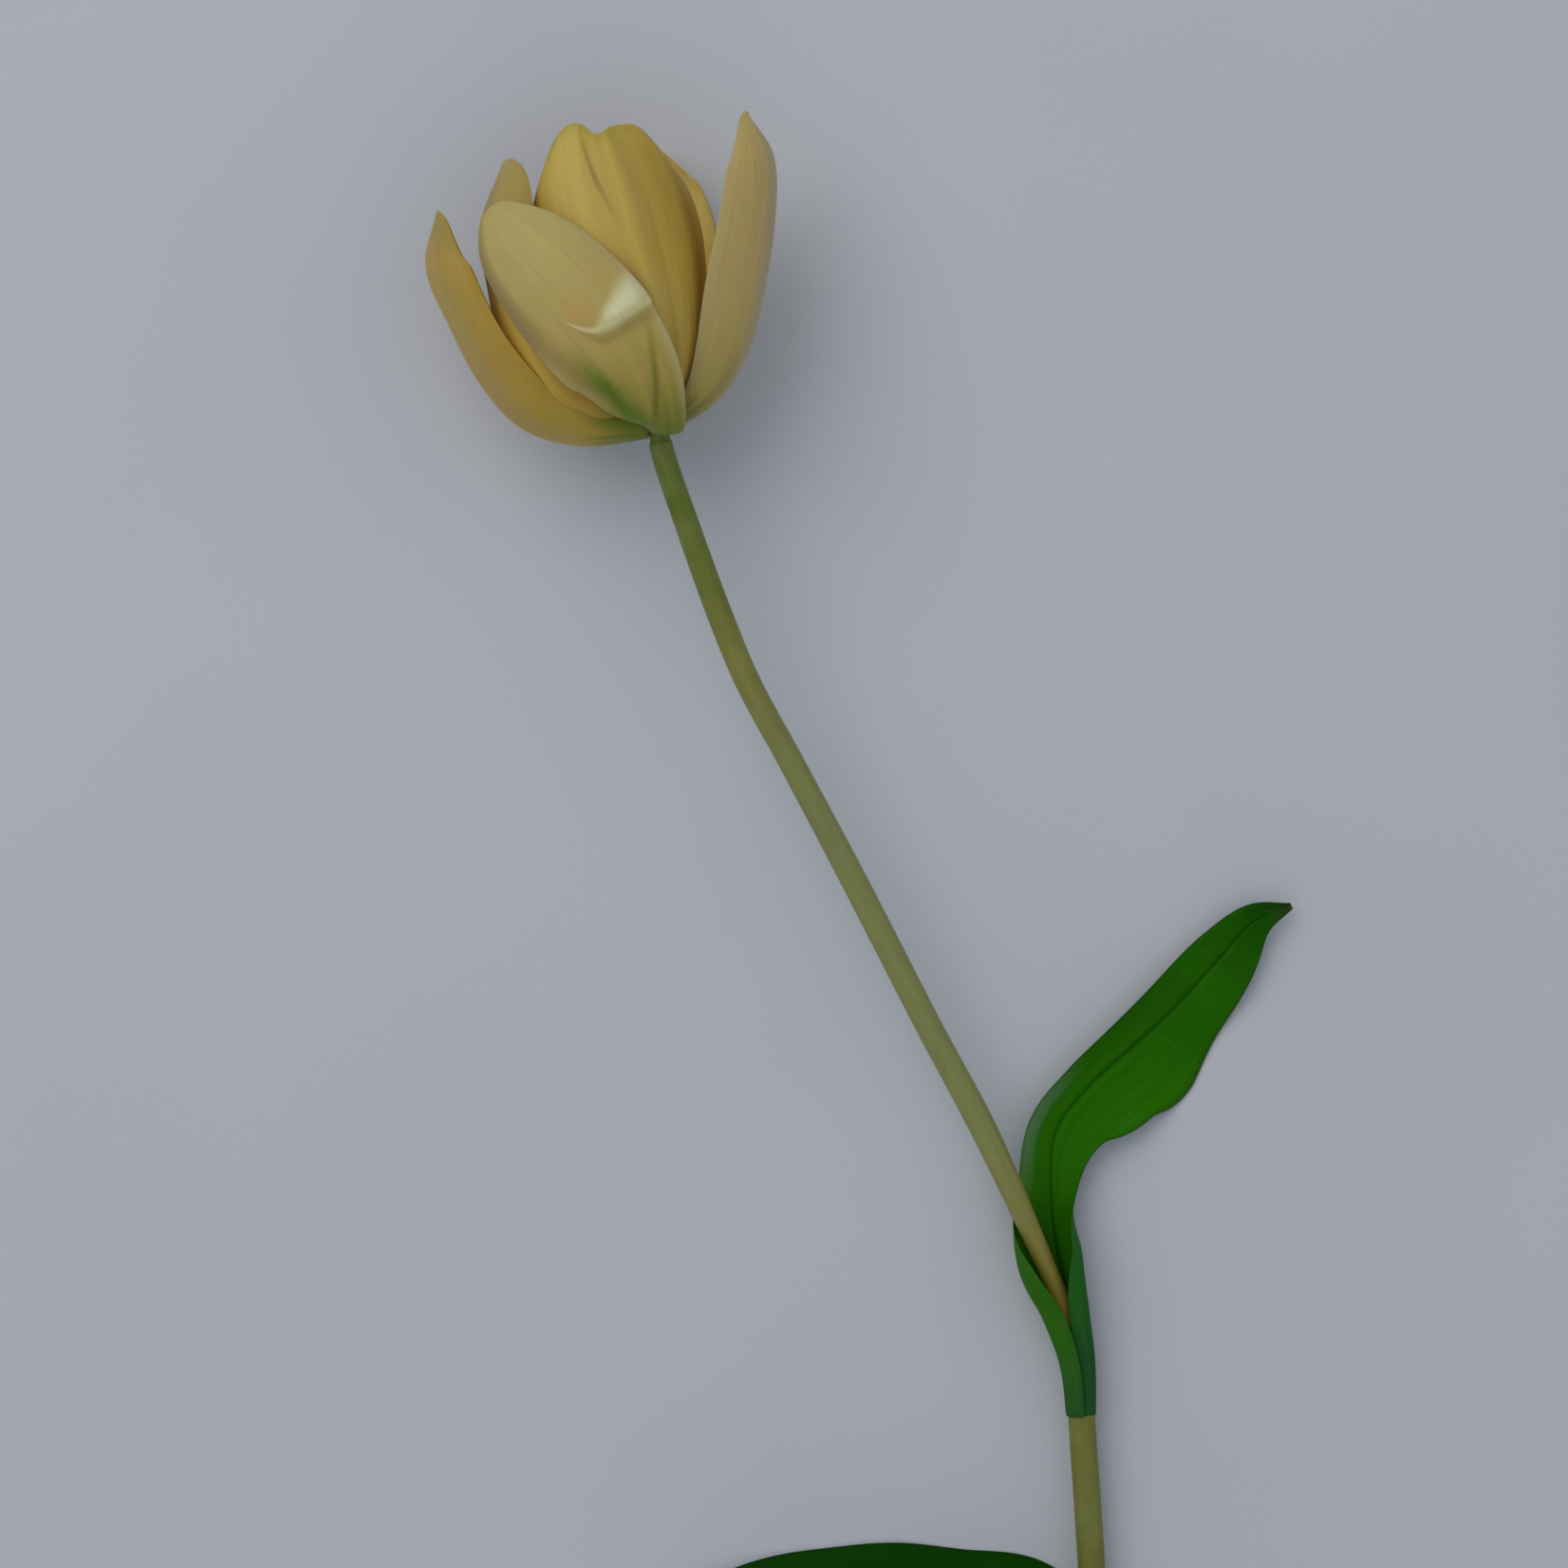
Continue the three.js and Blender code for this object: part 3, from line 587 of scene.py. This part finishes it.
def closeEnd(bm, y, steps, materialIndex):
    rim = [e for e in bm.edges if e.is_boundary and all(abs(v.co.y - y) < 1 for v in e.verts)]
    made = bmesh.ops.contextual_create(bm, geom=rim)["faces"]
    for step in steps:
        bmesh.ops.inset_region(bm, faces=made, thickness=step, use_even_offset=True)
    for face in made:
        face.material_index = materialIndex
    bmesh.ops.poke(bm, faces=made)


def makeTube(path, radiusAt, sides, rings, sidewaysFrom):
    bm = bmesh.new()
    uvLayer = bm.loops.layers.uv.new("blade")
    bmesh.ops.create_grid(bm, x_segments=sides, y_segments=rings, size=1)
    for face in bm.faces:
        for loop in face.loops:
            loop[uvLayer].uv = ((loop.vert.co.x + 1) / 2, (loop.vert.co.y + 1) / 2)
    for vertex in bm.verts:
        angle, t = (vertex.co.x + 1) * math.pi, (vertex.co.y + 1) / 2
        tangent = direction(path, t)
        side = tangent.cross(sidewaysFrom).normalized()
        above = side.cross(tangent)
        radius = radiusAt(t, angle)
        vertex.co = along(path, t) + side * (math.cos(angle) * radius) + above * (math.sin(angle) * radius)
    bmesh.ops.remove_doubles(bm, verts=bm.verts, dist=0.0005)
    return bm


stem = {
    "path": [Vector(p) for p in (
        (70, -252, 3.2), (68.6, -222, 4.2), (67, -196, 5.1), (65.4, -168, 5.4), (63.6, -141, 5.8), (62.4, -126, 6),
        (59.4, -112, 7.6), (53.2, -97, 10), (42.2, -73, 12.6), (30.2, -50.4, 14.4), (15.4, -21.6, 16.6),
            (1.8, 4, 17.8),
        (-7.2, 20.6, 19.4), (-13.4, 35.4, 20.6), (-19.8, 53, 22.4), (-25, 68, 23.6), (-26.2, 74.2, 24))],
    "radius": [3.1, 2.9, 2.5, 2.9, 2.9, 2.9, 2.9, 2.9, 2.9, 2.8, 2.8, 2.7, 2.7, 2.7, 2.6, 2.5, 2.4],
    "receptacle": 2.7,
    "node": 0.278,
    "look": {"lengthwise": [(0.0, "#70722a"), (0.27, "#73752a"), (0.37, "#8c7620"), (0.42, "#8c7e30"),
    (0.49, "#888c50"), (0.66, "#80854c"), (0.78, "#807f34"), (0.86, "#63701c"), (0.94, "#546600"),
    (1.0, "#4e5e00")], "cloud": "#8a9048"},
}


def stemRadius(t, angle):
    neck = 0.3 * smooth(0.966, 0.972, t)
    flare = smooth(0.988, 0.999, t)
    sheathed = 0.9 * smooth(stem["node"], stem["node"] + 0.003, t) * (1 - smooth(0.4, 0.52, t))
    radius = along(stem["radius"], t) * (1 + 0.012 * math.sin(3 * angle + 20 * t))
    return (radius - neck - sheathed) * (1 - flare) + stem["receptacle"] * flare


stemMesh = makeTube(stem["path"], stemRadius, 40, 300, Vector((0, 0, 1)))
closeEnd(stemMesh, -252, (0.15, 0.35), 1)
closeEnd(stemMesh, 74.2, (0.3,), 0)
bmesh.ops.recalc_face_normals(stemMesh, faces=stemMesh.faces)
finishPiece(stemMesh, "stem_skin", "stem", [stemSkin(stem["look"]), cutSkin()])
print("stem made")


# Pollen-dusted anther and waxy filament, ovary and stigma: soft, matt living tissue.
def tissueSkin(name, look):
    material, tree = newMaterial(name)
    _, _, v = bladeMap(tree)
    place = addNode(tree, "TexCoord", {}, {}, "Object")
    colour = addNode(tree, "ValToRGB", {"stops": look["lengthwise"]}, {0: v})
    grains = addNode(tree, "TexNoise", {}, {"Vector": place, "Scale": look["grain"], "Detail": 3.0})
    colour = mottle(tree, colour, grains, 0.8, 1.15)
    relief = addNode(tree, "Bump", {}, {"Height": grains, "Strength": 0.5, "Distance": 0.0003})
    skin = addNode(tree, "BsdfPrincipled", {}, {
        "Base Color": colour, "Normal": relief, "Roughness": look["roughness"], "IOR": 1.42,
        "Subsurface Weight": 0.15, "Subsurface Scale": 0.0015})
    addNode(tree, "OutputMaterial", {}, {0: skin})
    return material


stamen = {
    "foot": (3.5, 3.8), "height": 20, "filament": 0.75, "anther": 1.7, "lean": 14,
    "look": {"lengthwise": [(0.0, "#a8a85a"), (0.4, "#b5a552"), (0.48, "#a8873a"), (1.0, "#b8923c")],
             "grain": 4000, "roughness": 0.8},
}
pistil = {
    "foot": 2.4, "height": 19, "radius": 2.8, "stigma": 4.2,
    "look": {"lengthwise": [(0.0, "#8f9c52"), (0.7, "#a3ab5c"), (0.85, "#c4b86a"), (1.0, "#cdbd74")],
             "grain": 1500, "roughness": 0.5},
}


def stamenRadius(t, angle):
    anther = smooth(0.42, 0.5, t) * (1 - smooth(0.9, 1.04, t))
    thin = stamen["filament"] * (1.15 - 0.7 * t)
    groove = 1 - 0.2 * anther * abs(math.sin(angle)) ** 6
    return (thin * (1 - anther) + stamen["anther"] * (0.8 + 0.2 * abs(math.cos(angle))) * anther * groove)


def pistilRadius(t, angle):
    lobes = 0.1 * math.cos(3 * angle)
    crown = smooth(0.78, 0.94, t)
    waist = 1 - 0.25 * bell(t, 0.76, 0.08) - 0.25 * (1 - t) ** 3
    frill = 1 + 0.05 * math.sin(21 * angle) * smooth(0.86, 0.94, t)
    return waist * frill * (pistil["radius"] * (1 + lobes) * (1 - crown) + pistil["stigma"] * (1 + 2.4 * lobes) * crown)


def closeTube(bm, steps):
    for _ in range(2):
        rim = [e for e in bm.edges if e.is_boundary]
        if not rim:
            break
        height = rim[0].verts[0].co.z
        rim = [e for e in rim if abs(e.verts[0].co.z - height) < 2]
        made = bmesh.ops.contextual_create(bm, geom=rim)["faces"]
        for step in steps:
            bmesh.ops.inset_region(bm, faces=made, thickness=step, use_even_offset=True)
        bmesh.ops.poke(bm, faces=made)


antherSkin = tissueSkin("tulip stamen, pollen dusted", stamen["look"])
stamenFoot, stamenLevel = stamen["foot"]
lean = math.radians(stamen["lean"])
for i in range(6):
    azimuth = i * math.pi / 3
    radial = Vector((math.cos(azimuth), math.sin(azimuth), 0))
    rise = radial * math.sin(lean) + Vector((0, 0, math.cos(lean)))
    foot = radial * stamenFoot + Vector((0, 0, stamenLevel))
    path = [foot + rise * stamen["height"] * k / 3 for k in range(4)]
    post = makeTube(path, stamenRadius, 20, 30, Vector((-math.sin(azimuth), math.cos(azimuth), 0)))
    closeTube(post, (0.2,))
    bmesh.ops.transform(post, matrix=toFlower, verts=post.verts)
    bmesh.ops.recalc_face_normals(post, faces=post.faces)
    finishPiece(post, f"stamen_{i + 1}_tissue", f"stamen_{i + 1}", [antherSkin])
path = [Vector((0, 0, pistil["foot"] + pistil["height"] * k / 3)) for k in range(4)]
post = makeTube(path, pistilRadius, 42, 30, Vector((0, 1, 0)))
closeTube(post, (0.5, 0.8))
bmesh.ops.transform(post, matrix=toFlower, verts=post.verts)
bmesh.ops.recalc_face_normals(post, faces=post.faces)
finishPiece(post, "pistil_tissue", "pistil", [tissueSkin("tulip pistil", pistil["look"])])
print("pistil and stamens made")


studio = {
    "floorTones": [(0.3, "#c4c8cf"), (0.7, "#c8ccd2")], "floorRadius": 4,
    "world": "#dfe3ec", "worldStrength": 0.6,
    "keyPlace": (-0.75, 0.85, 1.25), "keySize": 1.5, "keyPower": 8.5, "keyColour": "#fffaf2",
    "aim": (-0.02, 0.03, 0), "height": 1.415, "halfWidth": 0.1652, "level": 0.015,
}


# Matt wall paint on board: a fine roller stipple.
def floorPaint(tones):
    material, tree = newMaterial("matt painted board")
    place = addNode(tree, "TexCoord", {}, {}, "Object")
    stipple = addNode(tree, "TexNoise", {}, {"Vector": place, "Scale": 700.0, "Detail": 4.0})
    tone = addNode(tree, "TexNoise", {}, {"Vector": place, "Scale": 9.0, "Detail": 2.0})
    colour = addNode(tree, "ValToRGB", {"stops": tones}, {0: tone})
    relief = addNode(tree, "Bump", {}, {"Height": stipple, "Strength": 0.12, "Distance": 0.0004})
    paint = addNode(tree, "BsdfPrincipled", {}, {
        "Base Color": colour, "Normal": relief, "Roughness": 0.75, "Specular IOR Level": 0.25})
    addNode(tree, "OutputMaterial", {}, {0: paint})
    return material


board = bmesh.new()
bmesh.ops.create_circle(board, cap_ends=True, segments=96, radius=studio["floorRadius"])
floorMesh = bpy.data.meshes.new("floor")
board.to_mesh(floorMesh)
board.free()
floorMesh.materials.append(floorPaint(studio["floorTones"]))
floor = bpy.data.objects.new("floor", floorMesh)
bpy.context.scene.collection.objects.link(floor)

world = bpy.data.worlds.new("soft room light")
world.use_nodes = True
world.node_tree.nodes["Background"].inputs[0].default_value = linear(studio["world"])
world.node_tree.nodes["Background"].inputs[1].default_value = studio["worldStrength"]
bpy.context.scene.world = world

keyData = bpy.data.lights.new("window light", "AREA")
keyData.shape = "DISK"
keyData.size = studio["keySize"]
keyData.energy = studio["keyPower"]
keyData.color = linear(studio["keyColour"])[:3]
key = bpy.data.objects.new("window light", keyData)
key.location = studio["keyPlace"]
key.rotation_euler = (Vector(studio["aim"]) - key.location).to_track_quat("-Z", "Y").to_euler()
bpy.context.scene.collection.objects.link(key)

cameraData = bpy.data.cameras.new("camera")
cameraData.sensor_width = 36
cameraData.lens = 18 * (studio["height"] - studio["level"]) / studio["halfWidth"]
camera = bpy.data.objects.new("camera", cameraData)
camera.location = (-drawing["origin"].x * 0.001, -drawing["origin"].y * 0.001, studio["height"])
bpy.context.scene.collection.objects.link(camera)
bpy.context.scene.camera = camera
bpy.context.scene.view_settings.view_transform = "Standard"
print("stage, light and camera made")
